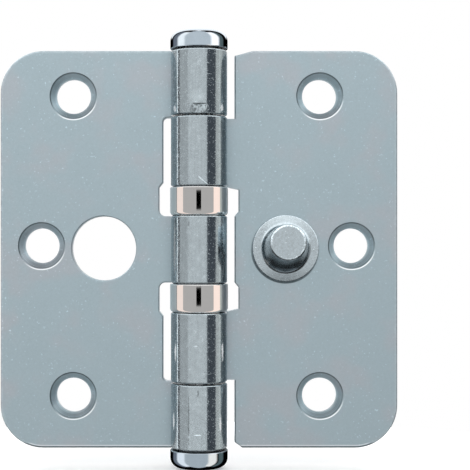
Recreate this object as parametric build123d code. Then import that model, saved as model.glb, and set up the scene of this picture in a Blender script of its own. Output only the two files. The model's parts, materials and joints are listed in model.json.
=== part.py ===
from build123d import *
import math
import os

# Security butt hinge with two ball bearings and a locking stud, opened flat.
# X runs across the two leaves, +Y goes into the door or frame behind them and
# Z goes up along the pin. The origin is on the pin axis at mid height.
# Lengths are in millimetres and angles in degrees.

# Leaves
leaf_height = 89.0
leaf_reach = 44.5              # from the pin axis to the outer edge of a leaf
sheet = 3.0                    # thickness of the steel sheet
corner_radius = 9.6            # outer corners of a leaf
front_edge_round = 0.3         # soft edge that the blanking press leaves in front

# Pin and its fits
pin_diameter = 6.4
pin_end_chamfer = 0.4
running_clearance = 0.05       # between the pin and the rolled knuckles, on radius
press_clearance = 0.01         # between a cap's spigot and its knuckle, on radius

# Knuckles, rolled from the leaf's own sheet
end_tab_length = 14.95         # top and bottom tabs, on the frame leaf
barrel_facing = 0.6            # the barrel's ends are faced this far below the leaf's ends
facing_clearance = 0.15        # from a cap to the edge of that facing, on radius
centre_knuckle_length = 14.9   # middle knuckle, on the frame leaf
joint_gap = 0.3                # between an end knuckle and its neighbour
seam_gap = 0.15                # between a curl's outer corner and the leaf's front
knuckle_edge_round = 0.4
stake_depth = 0.3              # chisel mark that locks the pin in the top knuckle
stake_end_depth = 0.1          # what is left of that depth at the knuckle's end
stake_height = 2.1

# Reliefs, the cut-outs that clear the other leaf's knuckles
knuckle_relief = 1.75          # from a knuckle's outside to the edge beside it
ring_relief = 2.5              # from a bearing's outside to the edge beside it
relief_slant = 1.1             # height of the slant between the two depths
relief_tab_corner = 1.0        # inner corner beside an end knuckle
relief_ring_corner = 1.4       # inner corner beside the middle knuckle
door_tab_slant_run = 2.3       # slanted underside of a door tab, beside a bearing
door_tab_slant_drop = 0.5
top_bevel_run = 4.0            # bevelled inner corners of the door leaf
top_bevel_drop = 1.1
bottom_bevel_run = 1.7
bottom_bevel_drop = 1.25

# Countersunk screw holes, three in each leaf
screw_hole_diameter = 7.8
countersink_diameter = 10.45
countersink_angle = 90.0
hole_edge_round = 0.25         # front rims of all the holes
frame_hole_inset = 16.3        # from the outer edge to the two end holes
door_hole_inset = 17.4
middle_hole_shift = 7.1        # the middle hole is this much nearer the outer edge
end_hole_inset = 10.9          # from the leaf's ends to the end holes
hole_rise = 0.8                # the hole pattern sits this much above mid height

# Locking stud on the door leaf and its hole in the frame leaf
stud_reach = 19.4              # from the pin axis
stud_rise = 0.2                # above mid height, like its hole
stud_collar_diameter = 15.0
stud_rim_height = 0.6          # collar at its rim
stud_collar_height = 0.85      # collar where the dog starts
stud_collar_round = 0.25
stud_root_diameter = 10.2
stud_root_fillet = 0.8
stud_tip_diameter = 8.0
stud_tip_rise = 1.3            # the dog leans up this far, so it is an oblique cone
stud_tip_round = 0.45
stud_shortfall = 0.1           # the tip stops this far short of the other leaf's back
stud_shank_diameter = 8.0
stud_peen_spread = 0.8         # the shank's back end is peened out into a cone
stud_seat_clearance = 0.02
lock_hole_diameter = 14.4
lock_hole_lead = 1.9           # the hole is further out, because the stud swings in

# Thrust ball bearings, one on each side of the middle knuckle
ball_diameter = 2.38
ball_play = 0.13               # from the balls to the pin and to the cup's wall
ball_spacing_gap = 0.15        # least gap from one ball to the next
groove_radius = 1.3            # section of the ball groove in each race
groove_depth = 0.45
groove_clearance = 0.04
race_pin_clearance = 0.1
race_cup_clearance = 0.1
lower_race_thickness = 1.7
upper_race_thickness = 2.4
cup_wall = 0.55
cup_floor = 0.8
cup_corner_radius = 0.85       # outer lower corner of the drawn cup
cup_rim_round = 0.2
cup_rim_drop = 0.2             # the upper race stands proud of the cup's rim
cup_pin_clearance = 0.15

# Caps, pressed into both ends of the barrel
cap_overhang = 0.1             # the cap is wider than the knuckle, on radius
cap_neck_radius = 4.4          # the neck below the cap's head leaves a groove on the barrel
cap_neck_height = 0.35
cap_height = 4.7
cap_crown_drop = 0.8           # how far the crown falls from its middle to its edge
cap_shoulder_radius = 2.2
cap_seat_round = 0.25
cap_spigot_length = 5.0
cap_spigot_chamfer = 0.5

# Radii and planes that follow from the values above
pin_radius = pin_diameter / 2
bore_radius = pin_radius + running_clearance
knuckle_radius = bore_radius + sheet
leaf_front = bore_radius       # the sheet runs into its curl tangentially
leaf_back = knuckle_radius
half_height = leaf_height / 2
barrel_end = half_height - barrel_facing
near = 0.001                   # how close a face or edge has to be to count as on a plane

ball_radius = ball_diameter / 2
ball_pitch_radius = pin_radius + ball_play + ball_radius
cup_inner_radius = ball_pitch_radius + ball_radius + ball_play
cup_radius = cup_inner_radius + cup_wall
cap_radius = knuckle_radius + cap_overhang
race_inner_radius = pin_radius + race_pin_clearance
race_outer_radius = cup_inner_radius - race_cup_clearance
race_gap = 2 * (ball_radius + groove_clearance - groove_depth)
bearing_height = cup_floor + lower_race_thickness + race_gap + upper_race_thickness
ball_half_angle = math.asin((ball_radius + ball_spacing_gap / 2) / ball_pitch_radius)
ball_count = int(math.pi / ball_half_angle)

# Heights of the knuckle ends above mid height; the barrel is the same below it
centre_end = centre_knuckle_length / 2
ring_end = centre_end + bearing_height
tab_end = half_height - end_tab_length
door_knuckle_top = tab_end - joint_gap

knuckle_relief_x = knuckle_radius + knuckle_relief
ring_relief_x = cup_radius + ring_relief


def facing_front(x, z):
    """Place a piece turned about Z on the front of a leaf, with its +Z towards the front."""
    return Plane(origin=(x, leaf_front, z), x_dir=(1, 0, 0), z_dir=(0, -1, 0)).location


def turned(points, rounds=()):
    """Revolve an outline of (radius, height) points about Z, with rounds at some corners."""
    section = make_face(Polyline(*[(radius, 0, height) for radius, height in points], close=True))
    for radius, height, round_radius in rounds:
        corner = section.vertices().sort_by_distance((radius, 0, height))[0]
        section = fillet(corner, round_radius)
    return revolve(section, Axis.Z)


def curl_section(low):
    """Section of a rolled knuckle: the sheet leaves the leaf at the back and curls round the pin."""
    seam_angle = math.degrees(math.asin((leaf_front - seam_gap) / knuckle_radius))
    sweep = 270 + seam_angle
    outside = CenterArc((0, 0, low), knuckle_radius, 90, sweep)
    inside = CenterArc((0, 0, low), bore_radius, 90, sweep)
    return make_face([outside, inside, Line(outside @ 0, inside @ 0), Line(outside @ 1, inside @ 1)])


def curl(low, high):
    return extrude(curl_section(low), amount=high - low, dir=(0, 0, 1))


def blank(points):
    """Flat blank of a leaf from its (reach, height) outline."""
    outline = Polyline(*[(reach, leaf_back, height) for reach, height in points], close=True)
    return extrude(make_face(outline), amount=sheet, dir=(0, -1, 0))


def mirrored_down(points):
    """The same outline points below mid height, in reverse order."""
    return [(reach, -height) for reach, height in reversed(points)]


def corner_edges(plate, reach, heights):
    """Edges through the sheet's thickness at one reach and the given heights."""
    through = plate.edges().filter_by(Axis.Y)
    middle = (leaf_front + leaf_back) / 2
    return [through.sort_by_distance((reach, middle, height))[0] for height in heights]


def front_edges(plate):
    return plate.edges().filter_by_position(Axis.Y, leaf_front - near, leaf_front + near)


def soften_front(plate):
    """Round the front edges outside the tabs, which stay square where they run into the curls."""
    outside_tabs = [
        edge
        for edge in front_edges(plate)
        if edge.bounding_box().min.X > knuckle_relief_x - near
    ]
    return fillet(outside_tabs, front_edge_round)


def soften_knuckles(leaf):
    """Round the outer rims of the knuckles."""
    rims = [
        edge
        for edge in leaf.edges().filter_by(GeomType.CIRCLE)
        if abs(edge.radius - knuckle_radius) < near
    ]
    return fillet(rims, knuckle_edge_round)


def screw_hole():
    """Countersunk hole, as the cutter that is taken out of the sheet, with its mouth at Z = 0."""
    hole = screw_hole_diameter / 2
    rim = countersink_diameter / 2
    slope = math.tan(math.radians(countersink_angle / 2))
    depth = (rim - hole) / slope
    beyond = sheet
    return turned([
        (0, -sheet - beyond),
        (hole, -sheet - beyond),
        (hole, -depth),
        (rim + beyond * slope, beyond),
        (0, beyond),
    ])


def screw_places(inset):
    """Reach and height of the three screw holes of a leaf."""
    end_reach = leaf_reach - inset
    end_rise = half_height - end_hole_inset
    return [
        (end_reach, hole_rise + end_rise),
        (end_reach + middle_hole_shift, hole_rise),
        (end_reach, hole_rise - end_rise),
    ]


def drilled(leaf, inset):
    for reach, height in screw_places(inset):
        leaf -= facing_front(reach, height) * screw_hole()
    return leaf


def soften_holes(leaf):
    """Round the front rims of the holes, which are the whole circles in the front plane."""
    rims = [edge for edge in front_edges(leaf).filter_by(GeomType.CIRCLE) if edge.is_closed]
    return fillet(rims, hole_edge_round)


def barrel_face():
    """Cutter that faces the top end of the barrel, so that the cap finds a flat seat."""
    height = 2 * barrel_facing
    return Location((0, 0, barrel_end + height / 2)) * Cylinder(cap_radius + facing_clearance, height)


def stake_mark():
    """Wedge that the chisel leaves in front of the top knuckle, deepest at its upper end."""
    low = tab_end
    high = tab_end + stake_height
    ahead = -2 * knuckle_radius
    section = Polyline(
        (0, ahead, high),
        (0, stake_depth - knuckle_radius, high),
        (0, stake_end_depth - knuckle_radius, low),
        (0, ahead, low),
        close=True,
    )
    return extrude(make_face(section), amount=knuckle_radius, dir=(1, 0, 0), both=True)


def frame_leaf():
    """Leaf with the end and middle knuckles. It is made towards +X, then mirrored to -X."""
    upper_relief = [
        (0, tab_end),
        (knuckle_relief_x, tab_end),
        (knuckle_relief_x, ring_end + relief_slant),
        (ring_relief_x, ring_end),
        (ring_relief_x, centre_end),
        (0, centre_end),
    ]
    outline = [(leaf_reach, half_height), (0, half_height)]
    outline += upper_relief + mirrored_down(upper_relief)
    outline += [(0, -half_height), (leaf_reach, -half_height)]
    plate = blank(outline)
    plate = fillet(corner_edges(plate, leaf_reach, [half_height, -half_height]), corner_radius)
    plate = fillet(corner_edges(plate, knuckle_relief_x, [tab_end, -tab_end]), relief_tab_corner)
    plate = fillet(corner_edges(plate, ring_relief_x, [centre_end, -centre_end]), relief_ring_corner)
    plate = soften_front(plate)
    plate = plate - barrel_face() - mirror(barrel_face(), about=Plane.XY)
    leaf = plate + curl(tab_end, barrel_end) + curl(-centre_end, centre_end) + curl(-barrel_end, -tab_end)
    leaf = soften_knuckles(leaf)
    leaf = drilled(leaf, frame_hole_inset)
    lock_hole = Cylinder(lock_hole_diameter / 2, 4 * sheet)
    leaf -= facing_front(stud_reach + lock_hole_lead, stud_rise) * lock_hole
    leaf = soften_holes(leaf) - stake_mark()
    return mirror(leaf, about=Plane.YZ)


def door_leaf():
    """Leaf with the two knuckles that turn, and the seat of the locking stud."""
    slant_start = ring_relief_x - door_tab_slant_run
    upper_inside = [
        (0, door_knuckle_top),
        (0, ring_end),
        (slant_start, ring_end),
        (ring_relief_x, ring_end - door_tab_slant_drop),
        (ring_relief_x, centre_end + relief_slant),
        (knuckle_relief_x, centre_end),
    ]
    outline = [
        (leaf_reach, half_height),
        (knuckle_relief_x + top_bevel_run, half_height),
        (knuckle_relief_x, half_height - top_bevel_drop),
        (knuckle_relief_x, door_knuckle_top),
    ]
    outline += upper_inside + mirrored_down(upper_inside)
    outline += [
        (knuckle_relief_x, -door_knuckle_top),
        (knuckle_relief_x, bottom_bevel_drop - half_height),
        (knuckle_relief_x + bottom_bevel_run, -half_height),
        (leaf_reach, -half_height),
    ]
    plate = blank(outline)
    plate = fillet(corner_edges(plate, leaf_reach, [half_height, -half_height]), corner_radius)
    plate = soften_front(plate)
    leaf = plate + curl(ring_end, door_knuckle_top) + curl(-door_knuckle_top, -ring_end)
    leaf = soften_knuckles(leaf)
    leaf = soften_holes(drilled(leaf, door_hole_inset))
    return leaf - facing_front(stud_reach, stud_rise) * stud_shank(stud_seat_clearance, sheet)


def stud_shank(clearance=0.0, beyond=0.0):
    """Riveted shank of the stud, or with a clearance the seat that it fills."""
    shank = stud_shank_diameter / 2 + clearance
    spread = stud_peen_spread + beyond
    return turned([
        (0, beyond),
        (shank, beyond),
        (shank, stud_peen_spread - sheet),
        (shank + spread, -sheet - beyond),
        (0, -sheet - beyond),
    ])


def rim_edges(solid, radius, height):
    """Circles of one radius at one height."""
    circles = solid.edges().filter_by(GeomType.CIRCLE)
    at_height = circles.filter_by_position(Axis.Z, height - near, height + near)
    return [edge for edge in at_height if abs(edge.radius - radius) < near]


def security_stud():
    """Turned stud: collar against the leaf, leaning dog in front and a peened shank behind."""
    rim = stud_collar_diameter / 2
    root = stud_root_diameter / 2
    tip = stud_tip_diameter / 2
    height = 2 * leaf_front + sheet - stud_shortfall
    collar = turned(
        [(0, 0), (rim, 0), (rim, stud_rim_height), (root, stud_collar_height), (0, stud_collar_height)],
        rounds=[(rim, stud_rim_height, stud_collar_round)],
    )
    root_circle = Location((0, 0, stud_collar_height)) * Circle(root)
    tip_circle = Location((0, stud_tip_rise, height)) * Circle(tip)
    stud = collar + loft([root_circle, tip_circle], ruled=True)
    stud = fillet(rim_edges(stud, root, stud_collar_height), stud_root_fillet)
    stud = fillet(rim_edges(stud, tip, height), stud_tip_round)
    return facing_front(stud_reach, stud_rise) * (stud + stud_shank())


def hinge_pin():
    """Plain pin between the two caps' spigots."""
    end = barrel_end - cap_spigot_length
    edge = pin_radius - pin_end_chamfer
    return turned([
        (0, -end),
        (edge, -end),
        (pin_radius, pin_end_chamfer - end),
        (pin_radius, end - pin_end_chamfer),
        (edge, end),
        (0, end),
    ])


def cap():
    """Crowned cap with its neck and spigot, seated at Z = 0."""
    spigot = bore_radius - press_clearance
    edge_height = cap_height - cap_crown_drop
    crown_radius = (cap_radius**2 + cap_crown_drop**2) / (2 * cap_crown_drop)
    below = Polyline(
        (0, 0, cap_height),
        (0, 0, -cap_spigot_length),
        (spigot - cap_spigot_chamfer, 0, -cap_spigot_length),
        (spigot, 0, cap_spigot_chamfer - cap_spigot_length),
        (spigot, 0, 0),
        (cap_neck_radius, 0, 0),
        (cap_neck_radius, 0, cap_neck_height),
        (cap_radius, 0, cap_neck_height),
        (cap_radius, 0, edge_height),
    )
    half_way = math.asin(cap_radius / crown_radius) / 2
    crown_middle = (
        crown_radius * math.sin(half_way),
        0,
        cap_height - crown_radius * (1 - math.cos(half_way)),
    )
    crown = ThreePointArc((cap_radius, 0, edge_height), crown_middle, (0, 0, cap_height))
    section = make_face([*below.edges(), crown])
    shoulder = section.vertices().sort_by_distance((cap_radius, 0, edge_height))[0]
    section = fillet(shoulder, cap_shoulder_radius)
    seat = section.vertices().sort_by_distance((cap_radius, 0, cap_neck_height))[0]
    section = fillet(seat, cap_seat_round)
    return revolve(section, Axis.Z)


def cup():
    """Drawn cup of a bearing, with its floor at Z = 0 and a hole for the pin."""
    hole = pin_radius + cup_pin_clearance
    rim = bearing_height - cup_rim_drop
    outline = [
        (hole, 0),
        (cup_radius, 0),
        (cup_radius, rim),
        (cup_inner_radius, rim),
        (cup_inner_radius, cup_floor),
        (hole, cup_floor),
    ]
    return turned(outline, rounds=[(cup_radius, 0, cup_corner_radius), (cup_radius, rim, cup_rim_round)])


def groove(ball_height, side):
    """Ring that cuts a ball groove: side 1 is the race above the balls, -1 the one below."""
    offset = groove_radius - ball_radius - groove_clearance
    centre = Location((0, 0, ball_height - side * offset))
    return centre * Torus(ball_pitch_radius, groove_radius)


def race(low, high):
    return turned([
        (race_inner_radius, low),
        (race_outer_radius, low),
        (race_outer_radius, high),
        (race_inner_radius, high),
    ])


def bearing_pieces():
    """One thrust bearing standing on Z = 0: its pieces by name."""
    lower_top = cup_floor + lower_race_thickness
    upper_low = lower_top + race_gap
    ball_height = (lower_top + upper_low) / 2
    pieces = {
        "cup": cup(),
        "lower_race": race(cup_floor, lower_top) - groove(ball_height, -1),
        "upper_race": race(upper_low, bearing_height) - groove(ball_height, 1),
    }
    for index in range(ball_count):
        place = Rotation(0, 0, 360 * index / ball_count) * Location((ball_pitch_radius, 0, ball_height))
        pieces[f"ball_{index + 1:02d}"] = place * Sphere(ball_radius)
    return pieces


def hinge_parts():
    parts = {
        "frame_leaf": frame_leaf(),
        "door_leaf": door_leaf(),
        "security_stud": security_stud(),
        "hinge_pin": hinge_pin(),
        "top_cap": Location((0, 0, barrel_end)) * cap(),
        "bottom_cap": Location((0, 0, -barrel_end)) * mirror(cap(), about=Plane.XY),
    }
    for name, seat in {"upper": centre_end, "lower": -ring_end}.items():
        for piece, solid in bearing_pieces().items():
            parts[f"{name}_{piece}"] = Location((0, 0, seat)) * solid
    return parts


os.makedirs("parts", exist_ok=True)
for node, part in hinge_parts().items():
    export_step(part, f"parts/{node}.step")
    print(node, round(part.volume, 2))
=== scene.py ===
import json
import math

import bmesh
import bpy
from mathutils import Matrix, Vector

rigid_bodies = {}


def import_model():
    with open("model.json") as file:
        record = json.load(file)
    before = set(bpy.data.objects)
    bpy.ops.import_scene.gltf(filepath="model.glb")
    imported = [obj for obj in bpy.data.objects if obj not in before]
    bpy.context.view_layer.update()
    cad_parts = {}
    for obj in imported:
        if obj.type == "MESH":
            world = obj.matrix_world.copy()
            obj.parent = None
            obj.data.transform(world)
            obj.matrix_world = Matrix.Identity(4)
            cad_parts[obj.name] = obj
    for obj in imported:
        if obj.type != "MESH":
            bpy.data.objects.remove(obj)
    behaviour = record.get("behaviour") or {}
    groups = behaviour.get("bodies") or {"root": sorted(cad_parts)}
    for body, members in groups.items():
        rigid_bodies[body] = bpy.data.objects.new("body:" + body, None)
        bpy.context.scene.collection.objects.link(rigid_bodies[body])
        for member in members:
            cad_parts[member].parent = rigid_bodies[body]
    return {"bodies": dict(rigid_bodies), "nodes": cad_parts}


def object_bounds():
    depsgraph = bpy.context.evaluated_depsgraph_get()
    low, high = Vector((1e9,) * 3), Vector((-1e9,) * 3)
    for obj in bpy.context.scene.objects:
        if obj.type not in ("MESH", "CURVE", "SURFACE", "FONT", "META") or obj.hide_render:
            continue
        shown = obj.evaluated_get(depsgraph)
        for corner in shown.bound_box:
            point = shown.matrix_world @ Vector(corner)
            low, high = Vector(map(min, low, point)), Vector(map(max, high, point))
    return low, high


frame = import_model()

# The hinge stands on its lower cap with the barrel along Z and the camera in front, at -Y.
# Object coordinates are metres, and the materials turn them into millimetres first.

kept = set(frame["bodies"].values()) | set(frame["nodes"].values())
for leftover in list(bpy.data.objects):
    if leftover not in kept:
        bpy.data.objects.remove(leftover)

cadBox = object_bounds()
print("frame loaded:", len(frame["nodes"]), "nodes")


class Signal:
    # A socket of a node tree; arithmetic on it adds Math nodes.
    def __init__(self, graph, socket):
        self.graph = graph
        self.socket = socket

    def __add__(self, other):
        return self.graph.math("ADD", self, other)

    def __radd__(self, other):
        return self.graph.math("ADD", other, self)

    def __sub__(self, other):
        return self.graph.math("SUBTRACT", self, other)

    def __rsub__(self, other):
        return self.graph.math("SUBTRACT", other, self)

    def __mul__(self, other):
        return self.graph.math("MULTIPLY", self, other)

    def __rmul__(self, other):
        return self.graph.math("MULTIPLY", other, self)

    def __truediv__(self, other):
        return self.graph.math("DIVIDE", self, other)

    def swing(self, amount):
        # How far a noise is from its middle, made larger or smaller.
        return (self - 0.5) * amount


class Graph:
    # Adds nodes to one node tree.
    def __init__(self, tree):
        self.tree = tree
        tree.nodes.clear()

    def node(self, kind, settings=None, **sockets):
        # Settings first, then the sockets by name; "_" in a name stands for a space.
        made = self.tree.nodes.new(kind)
        for name, value in (settings or {}).items():
            setattr(made, name, value)
        for name, value in sockets.items():
            self.feed(made.inputs[name.replace("_", " ")], value)
        return made

    def feed(self, socket, value):
        if isinstance(value, Signal):
            value = value.socket
        if isinstance(value, bpy.types.NodeSocket):
            self.tree.links.new(value, socket)
        elif isinstance(value, tuple) and len(value) == 3 and socket.type == "RGBA":
            socket.default_value = (*value, 1)
        else:
            socket.default_value = value

    def signal(self, node, output=0):
        return Signal(self, node.outputs[output])

    def math(self, operation, *values, clamp=False):
        made = self.node("ShaderNodeMath", {"operation": operation, "use_clamp": clamp})
        for socket, value in zip(made.inputs, values):
            self.feed(socket, value)
        return self.signal(made)

    def vector(self, operation, *values):
        made = self.node("ShaderNodeVectorMath", {"operation": operation})
        for socket, value in zip(made.inputs, values):
            self.feed(socket, value)
        return self.signal(made)

    def join(self, x, y, z):
        return self.signal(self.node("ShaderNodeCombineXYZ", X=x, Y=y, Z=z))

    def split(self, vector):
        parts = self.node("ShaderNodeSeparateXYZ", Vector=vector)
        return [Signal(self, output) for output in parts.outputs]

    def mix(self, factor, first, second):
        # Colours only, whose sockets are the Mix node's inputs 6 and 7 and its output 2.
        # Numbers are mixed by arithmetic.
        made = self.node("ShaderNodeMix", {"data_type": "RGBA"})
        for place, value in ((0, factor), (6, first), (7, second)):
            self.feed(made.inputs[place], value)
        return self.signal(made, 2)

    def shade(self, colour, factor):
        # A colour made lighter or darker, or a vector made longer, by a number.
        made = self.node("ShaderNodeVectorMath", {"operation": "SCALE"})
        self.feed(made.inputs[0], colour)
        self.feed(made.inputs["Scale"], factor)
        return self.signal(made)

    def ramp(self, value, low, high):
        # 0 at low, 1 at high, smooth between; low may be the greater one.
        made = self.node("ShaderNodeMapRange", {"interpolation_type": "SMOOTHSTEP"}, Value=value)
        self.feed(made.inputs["From Min"], low)
        self.feed(made.inputs["From Max"], high)
        return self.signal(made)

    def window(self, value, low, high, soft):
        # 1 from low to high, with soft ends.
        rise = self.math("MULTIPLY_ADD", value, 1 / soft, 0.5 - low / soft, clamp=True)
        fall = self.math("MULTIPLY_ADD", value, -1 / soft, 0.5 + high / soft, clamp=True)
        return rise * fall

    def length(self, x, y):
        return self.math("SQRT", x * x + y * y)

    def noise(self, vector, scale, detail, rough, seed):
        made = self.node("ShaderNodeTexNoise", {"noise_dimensions": "4D"}, Vector=vector, W=seed,
                         Scale=scale, Detail=detail, Roughness=rough)
        return self.signal(made)

    def cells(self, vector, scale, output):
        made = self.node("ShaderNodeTexVoronoi", Vector=vector, Scale=scale)
        return self.signal(made, output)

    def shader(self, kind, **sockets):
        return self.node(kind, None, **sockets).outputs[0]

    def both(self, first, second):
        # Two shaders added together.
        made = self.node("ShaderNodeAddShader")
        self.feed(made.inputs[0], first)
        self.feed(made.inputs[1], second)
        return made.outputs[0]

    def finish(self, shader, kind="ShaderNodeOutputMaterial"):
        self.tree.links.new(shader, self.node(kind).inputs["Surface"])


millimetres = 1000             # in a metre


def paint(name, recipe, values):
    # A material whose recipe returns the sockets that vary and those that stay the same.
    material = bpy.data.materials.new(name)
    material.use_nodes = True
    graph = Graph(material.node_tree)
    coordinates = graph.node("ShaderNodeTexCoord")
    point = graph.shade(graph.signal(coordinates, "Object"), millimetres)
    shader = graph.node("ShaderNodeBsdfPrincipled")
    for socket, value in recipe(graph, point, values).items():
        graph.feed(shader.inputs[socket], value)
    graph.finish(shader.outputs[0])
    return material


def bumped(graph, height, distance, strength):
    made = graph.node("ShaderNodeBump", Height=height, Strength=strength, Distance=distance)
    return graph.signal(made, "Normal")


def specks(graph, point, scale, size, share, seed):
    # Scattered dots: one in each cell, of which only a share shows.
    moved = graph.vector("ADD", point, (seed, seed * 1.7, seed * 0.6))
    distance = graph.cells(moved, scale, "Distance")
    chance = graph.split(graph.cells(moved, scale, "Color"))[0]
    dot = graph.ramp(distance, size * scale, size * scale * 0.4)
    return dot * graph.math("LESS_THAN", chance, share)


# Zinc plated sheet and its rolled knuckles. Places and sizes are in millimetres.
leafFinish = {
    "sheetColour": (0.366, 0.452, 0.492),
    "rosyColour": (0.390, 0.438, 0.474),
    "barrelColour": (0.388, 0.443, 0.471),
    "wornColour": (0.62, 0.70, 0.74),
    # The next two are the painted highlight colour and the painted shade colour.
    "brightColour": (0.93, 0.96, 0.98),
    "grimeColour": (0.06, 0.08, 0.09),
    "sheetRoughness": 0.38,
    "barrelRoughness": 0.13,
    "plating": (0.00001, 0.6),     # how deep the plating's bumps are, in metres, and how strong

    # Sizes of the hinge that the finish follows.
    "barrelRadius": 6.6,
    "jointRadius": 5.96,           # inside this the ends of the knuckles are dark with oil
    "frontFace": 3.25,
    "backFace": 6.25,
    "halfSize": 44.5,
    "cornerRadius": 9.6,
    "holes": [(28.2, 34.4), (35.3, 0.8), (28.2, -32.8)],
    "doorHoleShift": -1.1,         # the door leaf's holes are this much nearer the pin
    # inside this the ends of the knuckles get painted shade
    "countersinkRadius": 5.22,
    "collar": (19.4, 0.2, 7.5),    # middle x and z, and radius, of the stud's collar on the sheet

    # Noises: scale, detail, roughness and seed.
    "cloud": (0.11, 3, 0.55, 1.0),
    "grain": (2.2, 3, 0.6, 2.0),
    "fine": (5.0, 2, 0.6, 21.0),
    "rough": (1.1, 3, 0.7, 31.0),
    "flecks": (1.9, 2, 0.5, 33.0),
    "patches": (0.16, 2, 0.5, 35.0),
    "turning": (1.0, 2, 0.6, 37.0),
    "brushing": (1.0, 3, 0.6, 3.0),
    "mottle": (0.9, 4, 0.65, 41.0),
    "pitting": (2.8, 2, 0.5, 51.0),
    "turnedLines": 3.0,            # turned lines across a millimetre of a countersink's wall
    "brushStretch": (2.2, 2.2, 0.12),

    # Dots: scale, radius, share that shows and seed.
    "lightDots": (0.42, 0.26, 0.4, 5.0),
    "darkDots": (0.30, 0.20, 0.3, 11.0),
    "pinDots": (0.85, 0.18, 0.45, 29.0),
    "largePits": (0.95, 0.20, 0.5, 17.0),
    "smallPits": (2.0, 0.13, 0.6, 23.0),

    # How much these lighten and darken the sheet and the barrel.
    "sheetTones": {
        "grain": 0.18, "cloud": 0.08, "fine": 0.16, "light": 0.14, "pin": 0.34, "dark": 0.08,
    },
    "barrelTones": {"streak": 0.3, "mottle": 0.45, "grain": 0.2, "fine": 0.16, "pits": 0.16},
    "wear": 0.35,

    # The chisel mark that locks the pin, and a scratch below it.
    "stakeMark": (0.0, 30.6),
    "stakeHalf": (1.9, 1.0),
    "stakeDark": 0.66,
    "stakeLight": 0.62,
    "scratch": ((-0.1, 15.9), (1.85, 14.1)),
    "scratchWidth": 0.11,
    "scratchLight": 0.8,

    # Small marks on the barrel: middle x and z, half width, half height, how much lighter.
    "marks": [
        (0.0, 31.7, 1.9, 0.2, -0.4),
        (-0.5, 33.4, 1.5, 1.4, 0.15),
        (-2.26, -36.6, 0.15, 5.4, -0.45),
        (-0.2, -40.3, 0.8, 0.14, 0.9),
        (-0.22, -31.4, 0.14, 0.9, -0.6),
        (-0.76, -21.0, 0.4, 0.16, 0.6),
        (-2.2, 5.6, 0.2, 0.7, -0.35),
    ],
    # Painted glints at the sides of the barrel, in the same order; the last is how pale.
    "scuffs": [
        (-5.15, -22.4, 0.19, 1.9, 0.9),
        (5.15, -22.4, 0.21, 1.9, 0.95),
        (-5.54, -37.6, 0.17, 1.9, 0.9),
        (4.7, -38.3, 0.2, 1.6, 0.7),
        (5.0, 31.0, 0.3, 0.9, 0.9),
        (-5.3, 30.8, 0.3, 0.7, 0.7),
    ],
    "scuffMatte": 0.8,             # how far a painted glint is from metallic
}


def edgeDistance(graph, x, z, values):
    # Distance in from the outline of an open hinge, which has rounded corners.
    inner = values["halfSize"] - values["cornerRadius"]
    across = graph.math("MAXIMUM", graph.math("ABSOLUTE", x) - inner, 0.0)
    up = graph.math("MAXIMUM", graph.math("ABSOLUTE", z) - inner, 0.0)
    return values["cornerRadius"] - graph.length(across, up)


def edgePaintedLightAndWear(graph, x, z, rough, values):
    # Lower edge: painted shade, a painted highlight line above; the others are only a little worn.
    inside = edgeDistance(graph, x, z, values)
    below = graph.ramp(z, 1.3 - values["halfSize"], 0.9 - values["halfSize"])
    lowerEdgeShade = graph.ramp(inside, 0.42, 0.28) * below
    lowerEdgeHighlight = graph.window(inside, 0.42, 0.62, 0.12) * below
    worn = graph.ramp(inside, 0.75, 0.15) * graph.ramp(rough, 0.35, 0.6) * (1 - below)
    return lowerEdgeShade, lowerEdgeHighlight, worn * values["wear"]


def countersinks(graph, x, y, z, values):
    # Distance from the nearest hole, how far down and right a point lies from it (-1 to 1), and
    # three masks: turned wall, a painted shade line round the upper rim, a painted highlight below.
    radius = values["countersinkRadius"]
    nearest, lowest = 100.0, 0.0
    for reach, holeZ in values["holes"]:
        for holeX in (reach + values["doorHoleShift"], -reach):
            right = x - holeX
            down = holeZ - z
            away = graph.length(right, down)
            close = graph.math("LESS_THAN", away, 2 * radius)
            lowest = lowest + close * ((down * 0.96 + right * 0.28) / away)
            nearest = graph.math("MINIMUM", away, nearest)
    front = graph.ramp(y, values["frontFace"] + 0.9, values["frontFace"] + 0.5)
    within = graph.ramp(y, values["backFace"] - 0.05, values["backFace"] - 0.15)
    wall = graph.ramp(nearest, radius + 0.1, radius - 0.1) * within
    # painted shade along the upper rims of the holes and painted highlight along the lower rims
    dark = graph.window(nearest, radius - 0.14, radius + 0.07, 0.12) * front
    bright = graph.window(nearest, radius + 0.02, radius + 0.24, 0.12) * front
    dark = dark * graph.ramp(lowest, 0.6, -0.1)
    bright = bright * graph.ramp(lowest, 0.35, 0.9)
    return nearest, lowest, wall, dark, bright


def collarPaintedShadow(graph, x, z, values):
    # Painted shadow round the foot of the stud's collar, widest below it and to the left.
    middleX, middleZ, radius = values["collar"]
    away = graph.length(x - middleX, z - middleZ)
    low = graph.ramp(((middleZ - z) * 0.92 - (x - middleX) * 0.3) / away, -0.35, 0.9)
    return graph.window(away - low * 0.26, radius - 0.6, radius + 0.12, 0.12) * low


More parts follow.
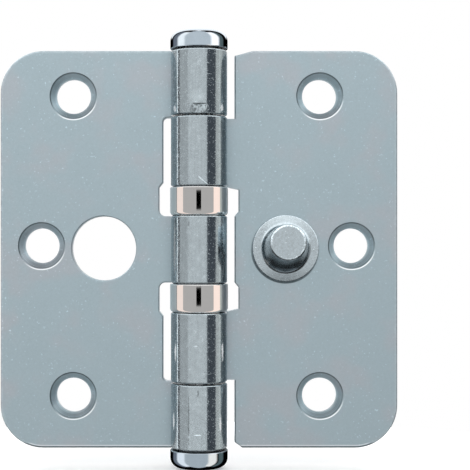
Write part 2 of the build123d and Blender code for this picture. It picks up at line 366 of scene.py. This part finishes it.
def sheetSkin(graph, point, grain, fine, rough, values):
    # Colour, roughness and height of the flat sheet.
    x, y, z = graph.split(point)
    cloud = graph.noise(point, *values["cloud"])
    flecks = graph.ramp(graph.noise(point, *values["flecks"]), 0.63, 0.74)
    patches = graph.ramp(graph.noise(point, *values["patches"]), 0.40, 0.62)
    lightDots = specks(graph, point, *values["lightDots"])
    darkDots = specks(graph, point, *values["darkDots"])
    pinDots = specks(graph, point, *values["pinDots"])

    tones = values["sheetTones"]
    clouded = grain.swing(tones["grain"]) + cloud.swing(tones["cloud"]) + fine.swing(tones["fine"])
    dotted = lightDots * tones["light"] + pinDots * tones["pin"] - darkDots * tones["dark"]
    colour = graph.mix(graph.ramp(cloud, 0.46, 0.66), values["sheetColour"], values["rosyColour"])
    colour = graph.shade(colour, 1 + clouded)
    colour = graph.shade(colour, 1 + dotted + flecks * (patches * 0.4 + 0.1))

    lowerEdgeShade, lowerEdgeHighlight, worn = edgePaintedLightAndWear(graph, x, z, rough, values)
    colour = graph.mix(worn, colour, values["wornColour"])

    # Countersink walls: painted light above and near the hole, painted shade below, turned lines.
    nearest, lowest, wall, rimPaintedShade, rimPaintedHighlight = countersinks(graph, x, y, z, values)
    rings = graph.join(nearest * values["turnedLines"], y * values["turnedLines"], 0.0)
    turned = graph.noise(rings, *values["turning"])
    lit = 0.3 - graph.ramp(lowest, 0.1, 0.9) * 0.6 + (4.6 - nearest) * 0.2
    colour = graph.shade(colour, 1 + wall * (lit + turned.swing(1.2)))

    # Painted shade and highlights on the rims, lower edge and stud's collar, on the front only.
    front = graph.ramp(y, values["frontFace"] + 0.5, values["frontFace"] + 0.3)
    # painted shadow round the stud's collar
    collarShadow = collarPaintedShadow(graph, x, z, values) * front
    # painted shade and painted highlights mixed into the sheet's colour
    grime = graph.math("MAXIMUM", rimPaintedShade * 0.85, lowerEdgeShade * front * 0.75)
    grime = graph.math("MAXIMUM", grime, collarShadow * 0.9)
    paintedHighlight = graph.math("MAXIMUM", rimPaintedHighlight, lowerEdgeHighlight * front * 0.6)
    colour = graph.mix(grime, colour, values["grimeColour"])
    colour = graph.mix(paintedHighlight, colour, values["brightColour"])

    roughness = values["sheetRoughness"] + grain.swing(0.12) + lightDots * 0.08
    roughness = roughness - worn * 0.1 + wall * 0.15
    return colour, roughness, lightDots * 0.6 + flecks * 0.5


def smallMarks(graph, x, z, jitter, marks):
    # How strong the marks of a list are here, with their outlines shaken by jitter.
    tone = 0.0
    for middleX, middleZ, halfX, halfZ, strength in marks:
        away = graph.length((x - middleX) / halfX, (z - middleZ) / halfZ)
        tone = graph.ramp(away + jitter, 1.25, 0.6) * strength + tone
    return tone


def scratchMask(graph, x, z, values):
    (startX, startZ), (endX, endZ) = values["scratch"]
    runX, runZ = endX - startX, endZ - startZ
    size = math.hypot(runX, runZ)
    along = (x - startX) * (runX / size) + (z - startZ) * (runZ / size)
    aside = (x - startX) * (runZ / size) - (z - startZ) * (runX / size)
    line = graph.window(aside, -values["scratchWidth"], values["scratchWidth"], 0.12)
    return line * graph.window(along, 0, size, 0.4)


def stakeMask(graph, x, z, values):
    (middleX, middleZ), (halfX, halfZ) = values["stakeMark"], values["stakeHalf"]
    wide = graph.window(x, middleX - halfX, middleX + halfX, 0.9)
    return wide * graph.window(z, middleZ - halfZ, middleZ + halfZ, 0.5)


def barrelSkin(graph, point, grain, fine, rough, values):
    # Colour, roughness and height of the rolled knuckles, and where the painted glints lie.
    x, y, z = graph.split(point)
    brushed = graph.vector("MULTIPLY", point, values["brushStretch"])
    brushed = graph.noise(brushed, *values["brushing"])
    mottle = graph.noise(point, *values["mottle"])
    pits = specks(graph, point, *values["largePits"])
    pits = graph.math("MAXIMUM", pits, specks(graph, point, *values["smallPits"]))
    pitting = graph.ramp(graph.noise(point, *values["pitting"]), 0.60, 0.70)
    pits = graph.math("MAXIMUM", pits, pitting)

    ahead = graph.ramp(y, -1.0, -1.6)
    stake = stakeMask(graph, x, z, values) * ahead
    scratch = scratchMask(graph, x, z, values) * ahead
    marks = smallMarks(graph, x, z, grain.swing(2.0), values["marks"]) * ahead
    # painted glints: pale spots at the sides of the barrel
    scuffs = smallMarks(graph, x, z, grain.swing(1.6) + fine.swing(2.0), values["scuffs"]) * ahead

    tones = values["barrelTones"]
    streaky = brushed.swing(tones["streak"]) + mottle.swing(tones["mottle"])
    grainy = grain.swing(tones["grain"]) + fine.swing(tones["fine"]) + pits * tones["pits"]
    hammered = values["stakeDark"] - graph.ramp(grain, 0.38, 0.55) * values["stakeLight"]
    colour = graph.shade(values["barrelColour"], 1 + streaky)
    colour = graph.shade(colour, 1 + grainy + scratch * values["scratchLight"])
    colour = graph.shade(colour, 1 + marks - stake * hammered)
    colour = graph.shade(colour, 1 + graph.ramp(mottle, 0.56, 0.72) * 0.16)
    joint = values["jointRadius"]
    # painted shade on the ends of the knuckles, inside the joints
    jointPaintedShade = graph.ramp(graph.length(x, y), joint + 0.08, joint - 0.08)
    colour = graph.mix(jointPaintedShade * 0.85, colour, values["grimeColour"])
    colour = graph.mix(scuffs, colour, values["brightColour"])

    roughness = values["barrelRoughness"] + brushed.swing(0.10) + pits * 0.28
    roughness = roughness + stake * 0.2 + scratch * 0.25
    height = brushed * 0.3 + pits * 1.2 + stake * rough * 9.0 - scratch * 4.0
    return colour, roughness, height, scuffs


def zincSteel(graph, point, values):
    x, y, z = graph.split(point)
    radius = values["barrelRadius"]
    barrel = graph.ramp(graph.length(x, y), radius + 0.15, radius - 0.15)
    grain = graph.noise(point, *values["grain"])
    fine = graph.noise(point, *values["fine"])
    rough = graph.noise(point, *values["rough"])

    sheet, sheetRough, sheetHeight = sheetSkin(graph, point, grain, fine, rough, values)
    tube, tubeRough, tubeHeight, scuffs = barrelSkin(graph, point, grain, fine, rough, values)
    height = grain * (1 - barrel * 0.4) + fine * 0.5 + sheetHeight + barrel * tubeHeight
    return {
        "Base Color": graph.mix(barrel, sheet, tube),
        "Metallic": 1 - scuffs * barrel * values["scuffMatte"],
        "Roughness": sheetRough + barrel * (tubeRough - sheetRough),
        "Normal": bumped(graph, height, *values["plating"]),
    }


# Locking stud, turned and plated.
studFinish = {
    "colour": (0.400, 0.458, 0.487),
    "roughness": 0.2,
    "axis": (19.4, 0.2),
    "collarRadius": 7.5,
    "tip": (19.4, 1.5, 3.62),      # middle x and z, and radius, of the painted highlight round the tip's edge
    "tipDepth": -5.4,              # the tip lies in front of this
    "grain": (2.6, 3, 0.6, 4.0),   # noises and dots as for the leaves
    "mottle": (0.9, 3, 0.6, 6.0),
    "turning": (1.0, 2, 0.5, 12.0),
    "dots": (1.3, 0.16, 0.5, 3.0),
    "tones": {
        "grain": 0.48, "mottle": 0.3, "turning": 0.15, "dots": 0.3,
        "rim": 0.15, "tip": 0.7, "low": 0.25,
    },
    "plating": (0.00002, 0.6),
}


def tipPaintedHighlight(graph, x, y, z, patchy, values):
    # A painted highlight along the edge round the tip, broken by patchy and missing at the lower
    # left.
    middleX, middleZ, radius = values["tip"]
    away = graph.length(x - middleX, z - middleZ)
    edge = graph.window(away, radius - 0.16, radius + 0.2, 0.16) * graph.ramp(patchy, 0.85, 1.15)
    edge = edge * graph.ramp((x - middleX + z - middleZ) / away, -1.3, -0.8)
    return edge * graph.ramp(y, values["tipDepth"] + 0.2, values["tipDepth"] - 0.2)


def turnedSteel(graph, point, values):
    x, y, z = graph.split(point)
    away = graph.length(x - values["axis"][0], z - values["axis"][1])
    grain = graph.noise(point, *values["grain"])
    mottle = graph.noise(point, *values["mottle"])
    lines = graph.noise(graph.join(away * 3.0, y * 2.0, 0.0), *values["turning"])
    dots = specks(graph, point, *values["dots"])
    rim = graph.ramp(away, values["collarRadius"] - 0.5, values["collarRadius"] - 0.1)
    rim = rim * graph.ramp(grain, 0.4, 0.6)
    # painted highlight round the tip's edge
    edge = tipPaintedHighlight(graph, x, y, z, mottle + grain, values)
    # painted shade: the collar's lower side is darkened
    low = graph.ramp(z, -3.5, -7.0) * graph.ramp(y, 1.5, 2.3)    # the collar's shaded lower side

    tones = values["tones"]
    tone = 1 + grain.swing(tones["grain"]) + mottle.swing(tones["mottle"])
    tone = tone + lines.swing(tones["turning"]) - low * tones["low"]
    tone = tone + dots * tones["dots"] + rim * tones["rim"] + edge * tones["tip"]
    return {
        "Base Color": graph.shade(values["colour"], tone),
        "Metallic": 1.0,
        "Roughness": values["roughness"] + grain.swing(0.15) + mottle.swing(0.1),
        "Normal": bumped(graph, grain + dots + lines * 0.5, *values["plating"]),
    }


# Polished and ground parts. "polish" is how much the fine lines and the handling marks show, and
# "dents" how uneven the surface is. The cap's last entry is painted shade in a groove: the heights
# from mid height where it starts and ends, and how much it darkens.
cupFinish = {"colour": (0.98, 0.965, 0.95), "roughness": 0.02, "polish": 0.03, "dents": 0.1}
capFinish = {"colour": (0.60, 0.635, 0.665), "roughness": 0.09, "polish": 0.08, "dents": 1.0,
             "grime": (43.0, 44.28, 0.75)}
raceFinish = {"colour": (0.12, 0.13, 0.14), "roughness": 0.25, "polish": 0.1, "dents": 1.0}
ballFinish = {"colour": (0.62, 0.62, 0.62), "roughness": 0.05, "polish": 0.03, "dents": 0.1}
pinFinish = {"colour": (0.45, 0.46, 0.47), "roughness": 0.2, "polish": 0.08, "dents": 1.0}


def polishedMetal(graph, point, values):
    # Fine lines run round the axis, with a faint cloud of handling marks.
    x, y, z = graph.split(point)
    polish, dents = values["polish"], values["dents"]
    lines = graph.noise(graph.join(x * 0.05, y * 0.05, z * 6.0), 1.0, 2, 0.5, 8.0)
    cloud = graph.noise(point, 0.5, 3, 0.6, 9.0)
    dots = specks(graph, point, 0.7, 0.14, 0.25, 7.0)
    tone = 1 + lines.swing(polish) + cloud.swing(2 * polish) - dots * 0.12
    roughness = values["roughness"] + cloud.swing(0.04 * dents) + dots * 0.1
    if "grime" in values:
        low, high, share = values["grime"]
        # painted shade in the groove by the cap's seat
        grooveShade = graph.window(graph.math("ABSOLUTE", z), low, high, 0.12) * share
        tone = tone * (1 - grooveShade)
        roughness = roughness + grooveShade * 0.3
    return {
        "Base Color": graph.shade(values["colour"], tone),
        "Metallic": 1.0,
        "Roughness": roughness,
        "Normal": bumped(graph, lines * 0.3 + cloud * 0.3 + dots, 0.000004 * dents, 0.5),
    }


finishes = {
    "leaf_steel": paint("leafSteel", zincSteel, leafFinish),
    "stud_steel": paint("studSteel", turnedSteel, studFinish),
    "cup_nickel": paint("cupNickel", polishedMetal, cupFinish),
    "cap_plating": paint("capPlating", polishedMetal, capFinish),
    "race_steel": paint("raceSteel", polishedMetal, raceFinish),
    "ball_steel": paint("ballSteel", polishedMetal, ballFinish),
    "pin_steel": paint("pinSteel", polishedMetal, pinFinish),
}
for part in frame["nodes"].values():
    for place in part.material_slots:
        place.material = finishes[place.material.name.split(".")[0]]
print("finishes:", len(finishes))

view = {
    "distance": 0.285,         # from the leaf's front to the camera
    "rise": 0.0009,            # the camera's height above mid height
    "pixelsPerMetre": 4460.0,  # at the leaf's front
    "frame": 470,
    "centre": (199, 245.3),    # where the optical axis meets the picture
}
leafFront = 0.00325
sensor = 36.0

camera = bpy.data.objects.new("camera", bpy.data.cameras.new("camera"))
bpy.context.scene.collection.objects.link(camera)
camera.location = (0, leafFront - view["distance"], view["rise"])
camera.rotation_euler = (math.pi / 2, 0, 0)
camera.data.sensor_width = sensor
camera.data.lens = view["pixelsPerMetre"] * view["distance"] / view["frame"] * sensor
camera.data.shift_x = (view["frame"] / 2 - view["centre"][0]) / view["frame"]
camera.data.shift_y = (view["centre"][1] - view["frame"] / 2) / view["frame"]
camera.data.clip_start = 0.01
bpy.context.scene.camera = camera
bpy.context.scene.view_settings.view_transform = "Standard"


def addMesh(name, shape):
    mesh = bpy.data.meshes.new(name)
    shape.to_mesh(mesh)
    shape.free()
    made = bpy.data.objects.new(name, mesh)
    bpy.context.scene.collection.objects.link(made)
    return made


def stageMaterial(name, build, look):
    material = bpy.data.materials.new(name)
    material.use_nodes = True
    graph = Graph(material.node_tree)
    graph.finish(build(graph, look))
    return material


floorLook = {
    "halfWidth": 0.100,
    "halfDepth": 0.075,
    "colour": (0.80, 0.80, 0.80),
    "lift": 0.25,              # added where the floor is seen, so that it reads white
    "rimStarts": 0.55,         # the lift grows from here, as a share of the way out,
    "rimEnds": 0.95,           # to here
}


def floorShader(graph, look):
    # The floor is lifted to white where it is seen, and more so near its rim. The polished parts
    # mirror the softboxes all round, so mirrored rays go through it.
    path = graph.node("ShaderNodeLightPath")
    direct = graph.signal(path, "Is Camera Ray")
    seen = graph.math("MAXIMUM", direct, graph.signal(path, "Is Transmission Ray"))
    x, y, z = graph.split(graph.signal(graph.node("ShaderNodeTexCoord"), "Object"))
    away = graph.length(x / look["halfWidth"], y / look["halfDepth"])
    rim = graph.ramp(away, look["rimStarts"], look["rimEnds"])
    lift = seen * (look["lift"] + rim * (1 - look["lift"]))
    glow = graph.join(lift, lift, lift)
    matte = graph.shader("ShaderNodeBsdfDiffuse", Color=look["colour"])
    surface = graph.both(matte, graph.shader("ShaderNodeEmission", Color=glow, Strength=1.0))
    through = graph.node("ShaderNodeMixShader", Fac=graph.signal(path, "Is Glossy Ray"))
    graph.feed(through.inputs[1], surface)
    graph.feed(through.inputs[2], graph.shader("ShaderNodeBsdfTransparent", Color=(1, 1, 1)))
    return through.outputs[0]


disc = bmesh.new()
bmesh.ops.create_circle(disc, cap_ends=True, segments=96, radius=1)
bmesh.ops.scale(disc, vec=(floorLook["halfWidth"], floorLook["halfDepth"], 1), verts=disc.verts)
bmesh.ops.translate(disc, vec=(0, 0, cadBox[0][2]), verts=disc.verts)
floor = addMesh("floor", disc)
floor.data.materials.append(stageMaterial("floorMatte", floorShader, floorLook))

world = bpy.data.worlds.new("world")
bpy.context.scene.world = world
world.use_nodes = True
sky = Graph(world.node_tree)
backdrop = sky.shader("ShaderNodeBackground", Color=(1, 1, 1), Strength=1.0)
sky.finish(backdrop, "ShaderNodeOutputWorld")

# Round softboxes without a seam stand around the hinge, one inside the other, each for its own
# parts. A patch is (across from, across to, up from, up to, softness, radiance). Directions are
# degrees seen from the pin, and across is 0 at the camera and positive to its right. Later patches
# cover earlier ones.
allRound = 200                 # past half a turn, so a patch that reaches it has no edge there
leafRoom = {
    "radius": 0.9,
    "letsThrough": 0.0,        # only the outermost is closed, to keep the white backdrop off
    "base": (0.5, 0.5, 0.5),
    "patches": [
        (-allRound, -158, -100, 100, 1.5, (0.95, 0.95, 0.95)),
        (-158, -116, -100, 100, 6, (0.6, 0.6, 0.6)),
        (-116, -100, -100, 100, 1.5, (0.75, 0.75, 0.75)),
        (-101, -95.5, -100, 100, 1.5, (2.1, 2.1, 2.1)),
        (-95.5, -86, -100, 100, 1.5, (0.06, 0.06, 0.07)),
        (-86, -46, -100, 100, 1.5, (0.73, 0.73, 0.73)),
        (-46, 33, -100, 100, 1.5, (1.0, 1.0, 1.0)),
        (33, 72, -100, 100, 1.5, (0.11, 0.12, 0.138)),
        (72, 90, -100, 100, 1.5, (0.86, 0.85, 0.82)),
        (90, 97, -100, 100, 1.5, (1.1, 1.1, 1.05)),
        (97, 112, -100, 100, 1.5, (0.85, 0.85, 0.82)),
        (112, 160, -100, 100, 6, (0.55, 0.55, 0.55)),
        (160, allRound, -100, 100, 1.5, (0.95, 0.95, 0.95)),
        (-allRound, allRound, 23, 100, 12, (1.7, 1.7, 1.7)),
        (-allRound, allRound, 60, 100, 14, (0.8, 0.8, 0.8)),
        (-allRound, allRound, -100, -27, 9, (0.3, 0.3, 0.3)),
        (-allRound, allRound, -100, -50, 14, (0.55, 0.55, 0.55)),
    ],
}
studRoom = {
    "radius": 0.85,
    "letsThrough": 1.0,
    "base": (1.0, 1.0, 1.0),
    "patches": [
        (-allRound, -40, -100, 100, 20, (0.85, 0.85, 0.85)),
        (40, allRound, -100, 100, 20, (0.45, 0.45, 0.45)),
        (-allRound, allRound, 12, 100, 6, (2.0, 2.0, 2.0)),
        (-allRound, allRound, -100, -18, 12, (0.03, 0.03, 0.03)),
        (-allRound, allRound, -80, -55, 10, (0.4, 0.42, 0.44)),
    ],
}
capRoom = {
    "radius": 0.8,
    "letsThrough": 1.0,
    "base": (0.0, 0.0, 0.0),
    "patches": [
        (-125, -94, -60, 60, 8, (0.20, 0.23, 0.28)),
        (86, 113, -60, 60, 8, (0.12, 0.17, 0.18)),
        (-66, 59, -100, 0, 5, (0.55, 0.62, 0.67)),
        (-66, 59, 0, 100, 5, (0.72, 0.80, 0.86)),
        (-95, -60, 0, 64, 11, (1.35, 1.42, 1.46)),
        (50, 87, 0, 64, 11, (1.7, 1.7, 1.75)),
        (-99, -60, -64, 0, 9, (1.1, 1.18, 1.26)),
        (38, 76, -64, 0, 9, (1.25, 1.22, 1.16)),
        (-allRound, -142, 18, 100, 6, (1.3, 1.35, 1.4)),
        (142, allRound, 18, 100, 6, (1.3, 1.35, 1.4)),
    ],
}
cupRoom = {
    "radius": 0.75,
    "letsThrough": 1.0,
    "base": (0.0, 0.0, 0.0),
    "patches": [
        (-allRound, -109, -100, 100, 4, (0.45, 0.55, 0.58)),
        (94, 140, -100, 100, 4, (0.50, 0.56, 0.54)),
        (-66, 60, -100, 100, 1, (0.40, 0.40, 0.40)),
        (-98.5, -66, -100, 68, 1, (0.86, 0.75, 0.70)),
        (60, 92.5, -100, 68, 1, (0.98, 0.82, 0.75)),
        (-10.5, 8.5, 2.25, 3.45, 0.1, (0.0, 0.0, 0.0)),
        (-10.5, 8.5, -3.65, -2.5, 0.1, (0.0, 0.0, 0.0)),
        (-allRound, allRound, 30, 100, 10, (1.2, 1.2, 1.2)),
    ],
}


def roomShader(graph, look):
    place = graph.signal(graph.node("ShaderNodeTexCoord"), "Object")
    x, y, z = graph.split(graph.vector("NORMALIZE", place))
    across = graph.math("ARCTAN2", x, y * -1) * math.degrees(1)
    up = graph.math("ARCSINE", z) * math.degrees(1)
    colour = look["base"]
    for acrossFrom, acrossTo, upFrom, upTo, soft, radiance in look["patches"]:
        column = graph.window(across, acrossFrom, acrossTo, soft)
        colour = graph.mix(column * graph.window(up, upFrom, upTo, soft), colour, radiance)
    clear = graph.shader("ShaderNodeBsdfTransparent", Color=(look["letsThrough"],) * 3)
    return graph.both(graph.shader("ShaderNodeEmission", Color=colour, Strength=1.0), clear)


def addRoom(name, look, lit):
    # A dome that the camera doesn't see and that lights only the given objects.
    shape = bmesh.new()
    bmesh.ops.create_uvsphere(shape, u_segments=64, v_segments=32, radius=look["radius"])
    bmesh.ops.reverse_faces(shape, faces=shape.faces)
    room = addMesh(name, shape)
    room.data.materials.append(stageMaterial(name, roomShader, look))
    room.visible_camera = False
    group = bpy.data.collections.new(name + "Lit")
    for item in lit:
        group.objects.link(item)
    room.light_linking.receiver_collection = group


def partsNamed(word):
    return [part for name, part in frame["nodes"].items() if word in name]


caps = partsNamed("cap")
cups = partsNamed("cup")
studs = partsNamed("stud")
satin = [part for part in frame["nodes"].values() if part not in caps + cups + studs]
addRoom("leafRoom", leafRoom, satin + [floor])
addRoom("studRoom", studRoom, studs)
addRoom("capRoom", capRoom, caps)
addRoom("cupRoom", cupRoom, cups)
print("camera, floor and studio placed")
